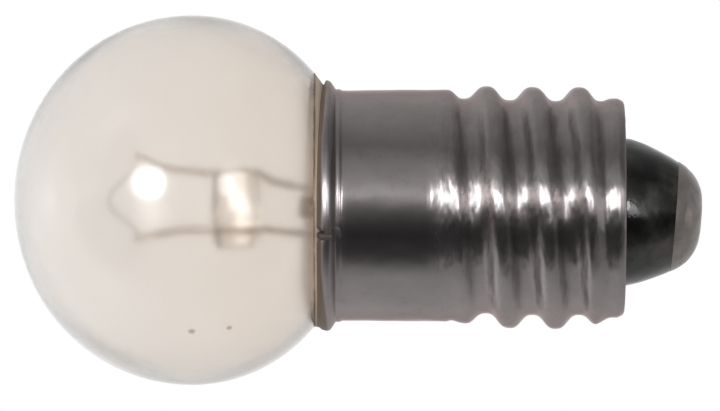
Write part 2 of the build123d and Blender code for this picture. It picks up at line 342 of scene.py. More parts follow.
def glassReach(turn, z):
    # distance from the base's axis to the leaning glass along one heading
    radius = 4.0
    for _ in range(12):
        local = bulbFrame.inverted() @ Vector((radius * math.cos(turn), radius * math.sin(turn), z))
        radius += glassRadius(local.z) - math.hypot(local.x, local.y)
    return radius


# rolled base shell: nickel-plated brass, drawn, flared, pierced and thread-rolled
shellSizes = {
    "pitch": 25.4 / 14,
    "majorRadius": 4.72,
    "minorRadius": 4.18,
    "crestHeight": 4.82,  # of a crest on the +X side
    "crestBreadth": 0.08,  # 0 leaves a plain wave, more makes the crests broader
    "threadShift": -0.10,  # the thread runs this far off the skirt's axis, along X
    "sheet": 0.20,
    "skirtRadius": 4.50,
    "skirtBottom": 10.05,
    "skirtBottomRadius": 4.53,
    "threadBottom": 3.50,
    "rootRunOut": 0.65,  # how soon root and crest meet the skirt above and the band below
    "rootRunIn": 0.45,
    "crestRunOut": 2.0,
    "crestRunIn": 1.05,
    "bandRadius": 4.28,
    "bottom": 3.06,
    "corner": 0.13,
    "cornerBend": 0.45,
    "rimCurve": [(4.50, 14.06), (4.555, 14.20), (4.53, 14.31), (4.70, 14.42), (4.85, 14.53), (4.895, 14.65),
                 (4.84, 14.86), (4.76, 14.95), (4.73, 15.06)],  # radius and height, up to the lip
    "rimPeak": 14.69,
    "rimTop": 15.08,
    "lipReach": 4.66,  # the lip stops where the glass is this far from the axis
    "nickWidth": 3.2,  # degrees each side of the lead that crosses the lip
    "holeRadius": 2.93,
    "holeShift": -0.22,
    "shiftFrom": 3.9,  # the turned-in end leans over to the hole from this radius inwards
    "columns": 240,
    "rowsPerTurn": 22,
    "dents": 0.012,  # how uneven handling has left the sheet
}
leadHeading = -104  # degrees, where the shell lead crosses the rim


def rootRadius(z):
    s = shellSizes
    up = ease((z - s["skirtBottom"] + s["rootRunOut"]) / s["rootRunOut"])
    down = ease((s["threadBottom"] + s["rootRunIn"] - z) / s["rootRunIn"])
    return (s["minorRadius"] + (s["skirtBottomRadius"] - s["minorRadius"]) * up
            + (s["bandRadius"] - s["minorRadius"]) * down)


def crestRadius(z):
    s = shellSizes
    up = ease((z - s["skirtBottom"] + s["crestRunOut"]) / s["crestRunOut"])
    down = ease((s["threadBottom"] + s["crestRunIn"] - z) / s["crestRunIn"])
    return (s["majorRadius"] - (s["majorRadius"] - s["skirtBottomRadius"]) * up
            - (s["majorRadius"] - s["bandRadius"]) * down)


def dented(point):
    s = shellSizes
    flat = Vector((point.x, point.y, 0)).normalized()
    depth = noise.noise(point * 0.9) + 0.4 * noise.noise(point * 2.3 + Vector((7, 3, 1)))
    return point + flat * (depth * s["dents"])


def threadShift(z):
    s = shellSizes
    return s["threadShift"] * ease((s["skirtBottom"] - z) / 4)


def threadRings(inset):
    # the radius swings once a turn between crest and root, as a one-start rolled thread's does
    s = shellSizes
    length = s["skirtBottom"] - s["threadBottom"]
    rows = round(length / s["pitch"] * s["rowsPerTurn"])
    rings = []
    for row in range(rows + 1):
        z = s["skirtBottom"] - length * row / rows
        middle = (crestRadius(z) + rootRadius(z)) / 2 - inset
        swing = (crestRadius(z) - rootRadius(z)) / 2 / (1 - s["crestBreadth"])
        turn = 2 * math.pi * (z - s["crestHeight"]) / s["pitch"]
        ring = []
        for p in ringPoints(1, z, s["columns"]):
            phase = math.atan2(p.y, p.x) - turn
            radius = middle + swing * (math.cos(phase) - s["crestBreadth"] * math.cos(3 * phase))
            ring.append(Vector((p.x * radius + threadShift(z), p.y * radius, z)))
        rings.append(ring)
    return rings


def rimOutline():
    s = shellSizes
    foot = [(s["skirtBottomRadius"], s["skirtBottom"] + 0.05)]
    route = roundedRoute(foot + s["rimCurve"], 0.10, 6)
    return evenSteps(route[:2], 0.25)[:-1] + evenSteps(route[1:], 0.035)


def rimProfiles():
    # outside and inside of the sheet from the skirt's foot to the lip, and the lip's round edge
    s = shellSizes
    outer = rimOutline()
    inner = []
    for i, p in enumerate(outer):
        half = s["sheet"] / 2 * (1 - 0.7 * ease((p.y - s["rimPeak"]) / 0.25))
        along = (outer[min(i + 1, len(outer) - 1)] - outer[max(i - 1, 0)]).normalized()
        normal = Vector((along.y, -along.x))
        inner.append(p - normal * 2 * half)
    middle = (outer[-1] + inner[-1]) / 2
    turns = [math.pi * k / 6 for k in range(1, 6)]
    lip = [middle - normal * half * math.cos(a) + along * half * math.sin(a) for a in turns]
    return outer, inner, lip


def endProfile(inset):
    s = shellSizes
    corners = [
        (s["bandRadius"] - inset, s["threadBottom"] - 0.05),
        (s["bandRadius"] - inset, s["bottom"] + 0.26 + inset / 2),
        (s["bandRadius"] - inset - s["corner"], s["bottom"] + inset),
        (s["holeRadius"], s["bottom"] + inset),
    ]
    return [(p.x, p.y) for p in roundedRoute(corners, s["cornerBend"] - 0.5 * inset, 8)]


def lipHeight(turn):
    # share of its height that the lip keeps: less where the leaning bulb sits close or the lead crosses
    s = shellSizes
    low, high = s["rimPeak"] + 0.02, s["rimPeak"] + 0.5
    for _ in range(12):
        middle = (low + high) / 2
        if glassReach(turn, middle) < s["lipReach"]:
            low = middle
        else:
            high = middle
    room = min(1, (low - s["rimPeak"]) / (s["rimTop"] - s["rimPeak"]))
    apart = abs((math.degrees(turn) - leadHeading + 180) % 360 - 180)
    return room * (1 - 0.8 * ease((s["nickWidth"] - apart) / s["nickWidth"] * 1.6))


def shellRings():
    s = shellSizes
    outer, inner, lip = rimProfiles()
    shares = [lipHeight(math.atan2(p.y, p.x)) for p in ringPoints(1, 0, s["columns"])]

    def rimRings(profile):
        rings = []
        for radius, z in profile:
            ring = ringPoints(radius, z, s["columns"])
            if z > s["rimPeak"]:
                above = z - s["rimPeak"]
                ring = [Vector((p.x, p.y, s["rimPeak"] + above * k)) for p, k in zip(ring, shares)]
            rings.append(ring)
        return rings

    rings = rimRings(lip + outer[::-1]) + threadRings(0)
    for radius, z in endProfile(0) + endProfile(s["sheet"])[::-1]:
        share = ease((s["shiftFrom"] - radius) / (s["shiftFrom"] - s["holeRadius"]))
        shift = threadShift(z) + (s["holeShift"] - threadShift(z)) * share
        rings.append(ringPoints(radius, z, s["columns"], (shift, 0)))
    rings += threadRings(s["sheet"])[::-1] + rimRings(inner)
    return [[dented(p) for p in ring] for ring in rings]


def shellRadius(z):
    # outside of the shell above the thread
    outline = rimOutline()
    for a, b in zip(outline, outline[1:]):
        if a.y <= z <= b.y:
            return a.x + (b.x - a.x) * (z - a.y) / max(b.y - a.y, 1e-6)
    return outline[-1].x


# what rolling, flux and handling have left on the sheet
sheetSkin = {
    "rolledFrom": 10.8,  # heights in mm where the thread's skin starts and is full
    "rolledFull": 10.2,
    "flaredFrom": 13.8,
    "flaredFull": 14.4,
    "stainedFrom": 14.78,
    "stainedFull": 14.90,
    "sidesFrom": 2.6,  # mm to each side, where the stain starts to come further down
    "sidesFull": 4.6,
    "sidesDrop": 0.2,
    "shadeFadeReach": 4.14,  # mm to each side, where the painted shade on the stain's brown has faded out and the brown is palest
    "drawnRoughness": 0.17,
    "flaredRoughness": 0.33,
    "rolledRoughness": 0.31,
    "stainedRoughness": 0.6,
}


def platedSheet():
    # nickel plate over brass, rolled and handled: a grey mirror whose lights are drawn out along the base
    material, tree, output, place = newMaterial("nickelPlatedBrassRolled")
    skin = sheetSkin
    height = along(tree, place, "Z")
    across = maths(tree, "ABSOLUTE", along(tree, place, "X"))
    tone = ramp(tree, grain(tree, place, 2.4, 5, Roughness=0.6), (0.36, "#ACA6A6"), (0.60, "#B5AEAE"))
    freckle = ramp(tree, grain(tree, place, 0.35, 3), (0.32, "#8C7F77"), (0.42, "#FFFFFF"))
    clean = mixed(tree, 0.08, tone, freckle, "MULTIPLY")
    # rolling marks run round the shell
    marks = bumped(tree, drawnGrain(tree, place, (2.5, 2.5, 0.10), 2), 0.06, 0.02)
    # the rolled thread is rougher than the drawn skirt, and puckered by the rolls
    rolled = spread(tree, height, skin["rolledFrom"], skin["rolledFull"])
    puckers = maths(tree, "MULTIPLY", drawnGrain(tree, place, (1.6, 1.6, 0.5), 2), rolled)
    flared = spread(tree, height, skin["flaredFrom"], skin["flaredFull"],
                    skin["drawnRoughness"], skin["flaredRoughness"])
    worked = spread(tree, rolled, 0, 1, flared, skin["rolledRoughness"])
    # its lip is stained brown by flux and cement, further down at the sides; the brown carries painted shade,
    # darkest where the lip faces front and back and palest toward the sides
    sides = spread(tree, across, skin["sidesFrom"], skin["sidesFull"], 0, skin["sidesDrop"])
    stained = spread(tree, maths(tree, "ADD", height, sides), skin["stainedFrom"], skin["stainedFull"])
    # painted shade: the stain's brown is darkened toward the middle of the front and back faces and fades out
    # toward the sides
    paintedShadeFade = spread(tree, across, 0, skin["shadeFadeReach"])
    brownWithPaintedShade = mixed(tree, paintedShadeFade, hexToLinear("#564D46"), hexToLinear("#73665A"))
    around = addNode(tree, "Tangent", {"direction_type": "RADIAL", "axis": "Z"})
    coat(tree, output, {
        "Base Color": mixed(tree, stained, clean, brownWithPaintedShade),
        "Metallic": spread(tree, stained, 0, 1, 1, 0.3),
        "Specular Tint": hexToLinear("#C4BCBA"),
        "Roughness": spread(tree, stained, 0, 1, worked, skin["stainedRoughness"]),
        "Anisotropic": spread(tree, rolled, 0, 1, 0.4, 0.88),
        "Anisotropic Rotation": 0.25,
        "Tangent": around.outputs["Tangent"],
        "Normal": bumped(tree, puckers, 1.0, 0.08, marks),
    })
    return material


shellMetal = platedSheet()
baseShell = buildPiece("baseShell", [shellRings()], shellMetal, closed=True)
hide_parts("base_shell")


# blown bulb: clear soda-lime glass, globe, neck and seal from one piece of tube
def wavy(point):
    s = glassSizes
    away = (point - Vector((0, 0, s["equator"]))).normalized()
    return point + away * (noise.noise(point * 0.35 + Vector((4, 1, 9))) * s["waves"])


def glassStacks():
    s = glassSizes
    outside = globeProfile(0) + sideProfile(0, neckHeight())
    outside += [(p.x, p.y) for p in roundedRoute(
        [(s["neckRadius"], neckHeight() - 0.2), (s["neckRadius"], s["sealBottom"] + s["sealCorner"]),
         (s["neckRadius"] - s["sealCorner"], s["sealBottom"]), (0.9, s["sealBottom"])], 0.3)]
    outside.append((0, s["sealBottom"]))
    floor = s["equator"] - s["sideRadius"] + s["wall"]
    inside = globeProfile(s["wall"]) + sideProfile(s["wall"], floor + 0.01)
    inside += [(0.6, floor), (0, floor)]
    stub = [(0, s["exhaustTop"] - 1.4), (s["boreRadius"], s["exhaustTop"] - 1.35),
            (s["boreRadius"], s["exhaustTop"] - 0.1)]
    stub += arcPoints(((s["boreRadius"] + s["exhaustRadius"]) / 2, s["exhaustTop"] - 0.1), 0.125, 180, 0, 8)
    stub += [(s["exhaustRadius"], s["exhaustTop"] - 0.5), (s["exhaustRadius"] + 0.02, floor + 0.5),
             (s["exhaustRadius"] + 0.12, floor + 0.2), (s["exhaustRadius"] + 0.35, floor + 0.02)]
    stub += [(s["exhaustRadius"] + 0.3, floor - 0.08), (0, floor - 0.08)]
    tail = [(0, s["sealBottom"] + 0.1), (0.6, s["sealBottom"] + 0.1),
            (s["exhaustRadius"] + 0.1, s["sealBottom"] - 0.1)]
    tail += [(s["exhaustRadius"], s["sealBottom"] - 0.5), (s["exhaustRadius"], s["tipOff"] + 1.1),
             (s["exhaustRadius"] * 0.8, s["tipOff"] + 0.5), (s["exhaustRadius"] * 0.35, s["tipOff"] + 0.1),
             (0, s["tipOff"])]
    columns = s["columns"]
    outer = latheRings(outside, columns)
    inner = latheRings(inside, columns, wavy)[::-1]
    shift = Vector((s["exhaustX"], 0, 0))
    small = [[[p + shift for p in ring] for ring in latheRings(profile, 32)] for profile in (stub, tail)]
    return [outer, inner] + small


# each speck of dirt: place on the glass in mm, and its radius
glassSpecks = [
    ((-4.86, -4.94, 19.86), 0.13),
    ((-4.74, -4.82, 18.41), 0.11),
    ((5.26, -4.35, 21.81), 0.09),
    ((5.11, -4.80, 21.14), 0.08),
]


def lampGlass():
    # soda-lime glass, blown: clear, with a warm cast from a film of dust and age, and a painted reflection of
    # the brown cement that deepens the cast toward the neck
    material, tree, output, place = newMaterial("sodaLimeGlassBlown")
    # painted reflection: the cast deepens from the crown down to the neck, where the brown cement is mirrored
    paintedNeckReflection = spread(tree, along(tree, place, "Z"), 26.5, 15.0)
    filmAndPaintedReflection = maths(tree, "MULTIPLY_ADD", grain(tree, place, 5, 3), 0.35, paintedNeckReflection)
    tone = ramp(tree, filmAndPaintedReflection, (0.1, "#F6F3F0"), (1.0, "#F0EAE4"))
    for (x, y, z), radius in glassSpecks:
        middle = (x / 1000, y / 1000, z / 1000)
        reach = addNode(tree, "VectorMath", {"operation": "DISTANCE", 0: place, 1: middle}).outputs["Value"]
        clear = spread(tree, reach, radius * 0.0006, radius * 0.0014)
        tone = mixed(tree, clear, hexToLinear("#A08C7A"), tone)
    coat(tree, output, {"Base Color": tone, "Transmission Weight": 1.0, "IOR": 1.5, "Roughness": 0.15})
    return material


glassMaterial = lampGlass()
glassBulb = buildPiece("glassBulb", glassStacks(), glassMaterial, place=bulbFrame)
glassBulb.visible_shadow = False  # lamps reach the mount inside
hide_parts("glass_bulb")

# filament: a single coil of drawn tungsten, hung in an arch
filamentSizes = {
    "coilRadius": 0.085,
    "wireRadius": 0.012,
    "turnPitch": 0.085,
    "stepsPerTurn": 14,
    "sides": 6,
}
filamentRoute = [onBulb(-1.58, 21.80), onBulb(-0.98, 22.33), onBulb(-0.42, 23.14), onBulb(0.18, 23.26),
                 onBulb(0.60, 22.80), onBulb(1.08, 22.36), onBulb(1.80, 22.08)]


def coilStack():
    s = filamentSizes
    step = s["turnPitch"] / s["stepsPerTurn"]
    line = carriedFrames(evenSteps(roundedRoute(filamentRoute, 0.6, 12), step), bulbSide)
    coil = []
    for i, (point, side, other, _) in enumerate(line):
        turn = 2 * math.pi * i / s["stepsPerTurn"]
        coil.append(point + (side * math.cos(turn) + other * math.sin(turn)) * s["coilRadius"])
    wire = (s["wireRadius"], s["wireRadius"], 1)
    return sweptRings(carriedFrames(coil, bulbSide), lambda t: wire, s["sides"])


def drawnTungsten():
    # drawn tungsten, flashed once: steel grey, with die lines too fine to show
    material, tree, output, place = newMaterial("tungstenDrawn")
    tone = ramp(tree, grain(tree, place, 0.5, 2), (0.35, "#A39B95"), (0.65, "#C2BAB4"))
    coat(tree, output, {"Base Color": tone, "Metallic": 0.5, "Roughness": 0.45})
    return material


filament = buildPiece("filament", [coilStack()], drawnTungsten(), crease=80)
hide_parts("filament")

# leads: copper-clad wire, each flattened at its top and folded over a filament leg
leadSizes = {
    "radius": 0.14,
    "bend": 0.4,
    "clampLength": 0.95,
    "clampHalfWidth": 0.28,
    "leafThickness": 0.13,
    "foldRadius": 0.085,
    "step": 0.05,
    "sides": 16,
}


def clampCorners(tip, angle):
    # from the free end of the folded leaf, over the tip and down to the lead
    s = leadSizes
    turn = math.radians(angle)
    up = onBulb(math.sin(turn), math.cos(turn)) - onBulb(0, 0)
    out = onBulb(math.cos(turn), -math.sin(turn)) - onBulb(0, 0)
    top = tip - up * (s["leafThickness"] / 2)
    low = tip - up * s["clampLength"]
    fold = [top + out * (s["foldRadius"] * math.cos(a)) - up * (s["foldRadius"] * (1 - math.sin(a)))
            for a in [math.pi * i / 6 for i in range(7)]]
    start = low + out * s["foldRadius"] + up * 0.12
    end = low - out * s["foldRadius"] * 0.6 + up * 0.2
    return [start] + fold + [end], low


def leadStack(tip, angle, route):
    s = leadSizes
    corners, low = clampCorners(tip, angle)
    leaf = evenSteps([Vector(c) for c in corners], s["step"])
    wire = evenSteps(roundedRoute([corners[-1], low] + route, s["bend"], 8), s["step"])
    line = leaf + wire[1:]
    flatEnd = len(leaf) / len(line)
    taper = 0.35 / (s["step"] * len(line))

    def section(t):
        round_ = ease((t - flatEnd + 0.3 * taper) / taper)
        width = s["clampHalfWidth"] + (s["radius"] - s["clampHalfWidth"]) * round_
        thickness = s["leafThickness"] / 2 + (s["radius"] - s["leafThickness"] / 2) * round_
        return width, thickness, 0.45 + 0.55 * round_

    return sweptRings(carriedFrames(line, bulbSide), section, s["sides"])


def leadWire():
    # copper-clad nickel-iron, drawn and fired in the seal: dull brown-grey with a little copper
    material, tree, output, place = newMaterial("leadWireDrawnOxidised")
    tone = ramp(tree, grain(tree, place, 0.9, 4), (0.35, "#A0948D"), (0.62, "#B9AEA7"))
    burnt = spread(tree, along(tree, place, "Y"), -3.9, -4.3)  # by the soldering, outside the rim
    coat(tree, output, {
        "Base Color": mixed(tree, burnt, tone, hexToLinear("#4A4440")),
        "Metallic": 0.4,
        "Roughness": 0.45,
        "Normal": bumped(tree, grain(tree, place, 0.1, 2), 0.2, 0.01),
    })
    return material


leadMetal = leadWire()
contactRoute = [onBulb(1.17, 20.75), onBulb(1.02, 19.40), onBulb(1.12, 17.30), onBulb(0.80, 16.80),
                onBulb(0.42, 15.20), onBulb(1.20, 11.60), Vector((0.60, 0, 8.2)),
                noseFrame @ Vector((0, 0, 5.4)), noseFrame @ Vector((0, 0, 0.45))]
contactLead = buildPiece("contactLead", [leadStack(onBulb(1.86, 22.25), 27, contactRoute)], leadMetal)
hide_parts("contact_lead")

shellRoute = [onBulb(-1.18, 20.30), onBulb(-1.13, 16.90), onBulb(-1.27, 15.20), onBulb(-1.36, 11.50),
              onBase(leadHeading, 3.79, 11.9), onBase(leadHeading, 3.79, 14.06),
              onBase(leadHeading, 4.555, 14.915), onBase(leadHeading, 4.99, 14.90),
              onBase(leadHeading, 4.96, 14.45)]
shellLead = buildPiece("shellLead", [leadStack(onBulb(-1.62, 22.20), -16, shellRoute)], leadMetal)
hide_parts("shell_lead")

# bead: a pellet of glass fused round both leads
beadSizes = {
    "x": -0.36,
    "z": 18.2,
    "halfLength": 1.55,
    "radius": 1.1,
    "round": 0.85,
    "sag": 0.05,
    "columns": 72,
}


def beadStack():
    s = beadSizes
    half, radius = s["halfLength"], s["radius"]
    corners = [(0, half), (radius * 0.86, half), (radius, 0), (radius * 0.84, -half), (0, -half)]
    route = evenSteps(roundedRoute(corners, s["round"], 10), 0.07)
    profile = [(p.x, p.y) for p in route]
    profile[0], profile[-1] = (0, half), (0, -half)

    def slumped(point):
        return point * (1 + s["sag"] * noise.noise(point * 0.8 + Vector((2, 5, 3))) - 0.02)

    return latheRings(profile, s["columns"], slumped)


def beadGlass():
    # lead glass, fused by flame: clear and a little browned, with a soft skin
    material, tree, output, place = newMaterial("leadGlassFused")
    tone = ramp(tree, grain(tree, place, 0.8, 3), (0.3, "#E9E2DC"), (0.7, "#F4EFEB"))
    coat(tree, output, {"Base Color": tone, "Transmission Weight": 1.0, "IOR": 1.56, "Roughness": 0.3})
    return material


beadTurn = Matrix.Translation(onBulb(beadSizes["x"], beadSizes["z"])) @ (
    bulbFrame.to_3x3() @ Matrix.Rotation(math.pi / 2, 3, "Y")).to_4x4()
glassBead = buildPiece("glassBead", [beadStack()], beadGlass(), place=beadTurn)
glassBead.visible_shadow = False
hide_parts("glass_bead")

# basing cement: a gritty ring that holds the neck in the shell
cementSizes = {
    "radius": 4.74,
    "top": 15.17,
    "bottom": 12.7,
    "edge": 0.08,
    "lipRadius": 4.70,  # where it goes in under the shell's lip
    "lipHeight": 15.0,
    "mouthRadius": 4.58,  # inside the flared rim
    "mouthTop": 14.84,
    "mouthBottom": 14.6,
    "throatTop": 14.1,
    "throatGap": 0.02,  # from the sheet
    "boreLimit": 4.25,  # the bore that the glass fills stays inside this
    "glassGap": 0.004,
    "grit": 0.035,
    "columns": 220,
}


def cementRings():
    s, shell = cementSizes, shellSizes
    throat = shell["skirtRadius"] - shell["sheet"] - s["throatGap"]
    edge = s["edge"]
    outer = [(s["radius"] - edge, s["top"]), (s["radius"] - 0.25 * edge, s["top"] - 0.5 * edge),
             (s["radius"], s["top"] - edge), (s["radius"], s["top"] - 1.5 * edge),
             (s["lipRadius"], s["lipHeight"]), (s["mouthRadius"], s["mouthTop"]),
             (s["mouthRadius"], s["mouthBottom"]), (throat, s["throatTop"]), (throat, s["bottom"])]
    rings = []
    columns = s["columns"]
    for radius, z in outer:
        ring = []
        for p in ringPoints(radius, z, columns):
            turn = math.atan2(p.y, p.x)
            rough = noise.fractal(p * 3.1, 1.0, 2.0, 4) * s["grit"] if z > shell["rimTop"] + 0.02 else 0
            reach = max(radius + rough, glassReach(turn, z) + s["glassGap"])
            ring.append(Vector((reach * math.cos(turn), reach * math.sin(turn), z + 0.5 * min(rough, 0))))
        rings.append(ring)
    heights = [s["bottom"] + (s["top"] - s["bottom"]) * i / 14 for i in range(15)]
    for z in heights:
        limit = s["radius"] - 0.005 if z > shell["rimTop"] else s["boreLimit"]
        ring = []
        for p in ringPoints(1, z, columns):
            turn = math.atan2(p.y, p.x)
            reach = min(glassReach(turn, z) + s["glassGap"], limit)
            ring.append(Vector((reach * math.cos(turn), reach * math.sin(turn), z)))
        rings.append(ring)
    return rings


def bakedCement():
    # phenolic basing cement, baked: matt brown, gritty with marble flour, of one pale tone down at the lip
    material, tree, output, place = newMaterial("basingCementBaked")
    grit = grain(tree, place, 0.16, 4, Roughness=0.7)
    baked = ramp(tree, grain(tree, place, 1.6, 3), (0.36, "#5F4C3B"), (0.52, "#8B7763"), (0.66, "#A9977F"))
    flour = ramp(tree, grit, (0.35, "#B0A090"), (0.65, "#FFFFFF"))
    gritty = mixed(tree, 0.8, baked, flour, "MULTIPLY")
    atLip = spread(tree, along(tree, place, "Z"), 15.14, 15.06, 0, 0.9)
    coat(tree, output, {
        "Base Color": mixed(tree, atLip, gritty, hexToLinear("#A39484")),
        "Roughness": 0.7,
        "Normal": bumped(tree, grit, 0.6, 0.04),
    })
    return material


basingCement = buildPiece("basingCement", [cementRings()], bakedCement(), closed=True)
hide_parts("basing_cement")

# nose: black glass insulator, centre contact and solder
noseSizes = {
    "radius": 2.90,
    "waistRadius": 2.67,
    "waist": 2.25,
    "contactHeight": 1.09,
    "plateHeight": 0.73,
    "domeRadius": 1.73,
    "flatRadius": 0.55,
    "holeRadius": 0.5,
    "eyeletRadius": 0.66,
    "eyeletTop": 2.19,
    "insulatorTop": 4.35,
    "plugRadius": 3.85,  # the part inside the shell, and its underside
    "plugBottom": 3.28,
    "plugEdge": 0.1,
    "curveTop": 3.46,
    "solderTop": 1.9,
    "columns": 144,
}
crossing = leanings["noseCrossing"]
flatDrop = noseSizes["flatRadius"] * math.sin(noseAngle)
tipHeight = crossing - noseSizes["domeRadius"] + (
    noseSizes["domeRadius"] + flatDrop - crossing) / math.cos(noseAngle)
domeCentre = tipHeight + noseSizes["domeRadius"]


def domeRadiusAt(height):
    s = noseSizes
    return s["flatRadius"] + math.sqrt(max(s["domeRadius"] ** 2 - (domeCentre - height) ** 2, 0))


contactRadius = domeRadiusAt(noseSizes["contactHeight"])


def insulatorProfile():
    # one curve through the shell's end, the waist and the contact's edge
    s = noseSizes
    heights = [s["curveTop"] - (s["curveTop"] - s["contactHeight"]) * i / 26 for i in range(27)]
    knots = [(shellSizes["bottom"], s["radius"]), (s["waist"], s["waistRadius"]),
             (s["contactHeight"], contactRadius)]
    plug, edge, top = s["plugRadius"], s["plugEdge"], s["insulatorTop"]
    profile = [(0, top), (plug - 1.5 * edge, top), (plug, top - edge), (plug, s["plugBottom"] + 0.22),
               (plug - edge, s["plugBottom"] + 0.02), (s["radius"], s["plugBottom"])]
    for z in heights:
        if z > s["plugBottom"] - 0.01:
            continue
        radius = sum(r * math.prod((z - other) / (z0 - other) for other, _ in knots if other != z0)
                     for z0, r in knots)
        profile.append((min(radius, s["radius"]), z))
    return profile + [(contactRadius - 0.05, s["contactHeight"]), (0, s["contactHeight"])]


def lumpy(amount, size, seed):
    def move(point):
        flat = Vector((point.x, point.y, 0))
        push = noise.fractal(point / size + Vector((seed, 0, 0)), 1.0, 2.0, 3) * amount
        return point + (flat.normalized() * push if flat.length > 0.01 else Vector())
    return move


def blackGlass():
    # vitrite, black slag glass poured hot: deep gloss, with grey scum and dust in its ripples
    material, tree, output, place = newMaterial("blackSlagGlassPoured")
    ripple = grain(tree, place, 1.3, 4, Distortion=0.1)
    coat(tree, output, {
        "Base Color": ramp(tree, ripple, (0.40, "#0D0D0C"), (0.55, "#1C1C1A"), (0.70, "#333230")),
        "IOR": 1.6,
        "Roughness": spread(tree, ripple, 0.4, 0.65, 0.12, 0.3),
        "Normal": bumped(tree, grain(tree, place, 0.25, 3), 0.25, 0.03),
    })
    return material


insulatorStack = latheRings(insulatorProfile(), noseSizes["columns"], lumpy(0.02, 1.6, 5))
insulator = buildPiece("insulator", [insulatorStack], blackGlass(), place=noseFrame)
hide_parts("insulator")


def dullMetal(name, tones, roughness, metallic):
    # worn metal, from its darker and smoother low spots to its paler and rougher ones
    material, tree, output, place = newMaterial(name)
    worn = grain(tree, place, 0.7, 5, Roughness=0.6)
    coat(tree, output, {
        "Base Color": ramp(tree, worn, (0.36, tones[0]), (0.62, tones[1])),
        "Metallic": metallic,
        "Roughness": spread(tree, worn, 0.35, 0.65, roughness[1], roughness[0]),
        "Normal": bumped(tree, grain(tree, place, 0.18, 3), 0.25, 0.03),
    })
    return material


def contactProfile():
    s = noseSizes
    heights = [s["contactHeight"] - (s["contactHeight"] - s["plateHeight"]) * i / 6 for i in range(7)]
    profile = [(domeRadiusAt(z), z) for z in heights]
    profile += [(s["holeRadius"], s["plateHeight"] + 0.005), (s["holeRadius"], s["eyeletTop"])]
    return profile + [(s["eyeletRadius"], s["eyeletTop"]), (s["eyeletRadius"], s["contactHeight"] + 0.005)]


# brass plate, pressed and tinned over: grey, with a dull worn skin
tinnedBrass = dullMetal("brassPressedTinned", ("#7F7976", "#8C8683"), (0.30, 0.38), 0.7)
contactStack = latheRings(contactProfile(), noseSizes["columns"], lumpy(0.015, 0.9, 2))
centreContact = buildPiece("centreContact", [contactStack], tinnedBrass, place=noseFrame, closed=True)
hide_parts("centre_contact")


def solderProfile():
    s = noseSizes
    heights = [s["plateHeight"] - (s["plateHeight"] - tipHeight) * i / 16 for i in range(17)]
    profile = [(0, s["solderTop"]), (s["holeRadius"] - 0.01, s["solderTop"]),
               (s["holeRadius"] - 0.01, s["plateHeight"] + 0.02),
               (domeRadiusAt(s["plateHeight"]) - 0.03, s["plateHeight"] + 0.004)]
    return profile + [(domeRadiusAt(z), z) for z in heights] + [(0.3, tipHeight), (0, tipHeight)]


# tin-lead solder, dipped: a soft grey that freezes in small ripples
frozenSolder = dullMetal("tinLeadSolderFrozen", ("#7E7875", "#8E8885"), (0.28, 0.36), 0.7)
solderStack = latheRings(solderProfile(), noseSizes["columns"], lumpy(0.03, 0.8, 11))
tipSolder = buildPiece("tipSolder", [solderStack], frozenSolder, place=noseFrame)
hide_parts("tip_solder")

# side solder: a drop that ties the shell lead to the outside of the rim
dropSizes = {
    "radius": 0.28,
    "z": 14.36,
    "stands": 0.012,  # how far it stands off the shell
    "uneven": 0.16,
    "columns": 40,
}


def dropRings():
    d = dropSizes
    centre = onBase(leadHeading, shellRadius(d["z"]), d["z"])
    rings = []
    for radius, z in arcPoints((0, 0), d["radius"], 90, -90, 20):
        ring = []
        for p in ringPoints(radius if radius > 1e-6 else 0, z, d["columns"]):
            p = centre + p * (1 + d["uneven"] * noise.noise(p * 4))
            away = math.hypot(p.x, p.y)
            skin = shellRadius(p.z)
            reach = skin + max(-0.06, (away - skin) / d["radius"] * d["stands"])
            ring.append(Vector((p.x * reach / away, p.y * reach / away, p.z)))
        rings.append(ring)
    return rings


# the same solder with flux burnt on to it, which leaves it dark
fluxedSolder = dullMetal("tinLeadSolderFluxed", ("#6F6967", "#7F7977"), (0.30, 0.40), 0.9)
sideSolder = buildPiece("sideSolder", [dropRings()], fluxedSolder)
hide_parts("side_solder")

# studio: a key lamp and two weak ones on the camera's side, a fill behind, a tent, a pale floor
studio = {
    "middle": 13.37,  # height the camera looks at, mm
    "lens": 500,
    "frameWidth": 28.125,  # mm across the picture
    "keyUp": 25.5,  # degrees from the camera towards +Z
    "keySide": 10.5,  # degrees from the camera towards +X
    "keyAway": 400,
    "keyAcross": 115,
    "keyPower": 0.6,
    "sideUp": -25,  # a weaker lamp on the other side, towards -Z
    "sideSide": 10,
    "sideAcross": 95,
    "sidePower": 0.2,
    "lowUp": -33,
    "lowSide": 1,
    "lowAcross": 90,
    "lowPower": 0.06,
    "fillPower": 1.6,
    "worldLevel": 0.7,
    "tentRadius": 600,
    "floorDrop": 25,
    "floorRadius": 150,
}

cameraData = bpy.data.cameras.new("camera")
cameraData.lens = studio["lens"]
cameraData.sensor_width = 36
cameraData.clip_start = 0.01
camera = bpy.data.objects.new("camera", cameraData)
distance = studio["frameWidth"] * studio["lens"] / 36
camera.matrix_world = Matrix.Translation(Vector((0, -distance, studio["middle"])) / 1000) @ Matrix(
    ((0, 1, 0), (0, 0, -1), (-1, 0, 0))).to_4x4()
scene.collection.objects.link(camera)
scene.camera = camera


def areaLamp(name, direction, away, across, power, shape="DISK"):
    data = bpy.data.lights.new(name, "AREA")
    data.shape = shape
    data.size = across / 1000
    data.energy = power
    lamp = bpy.data.objects.new(name, data)
    middle = Vector((0, 0, studio["middle"]))
    lamp.location = (middle + direction.normalized() * away) / 1000
    lamp.rotation_euler = direction.to_track_quat("Z", "Y").to_euler()
    scene.collection.objects.link(lamp)
    return lamp


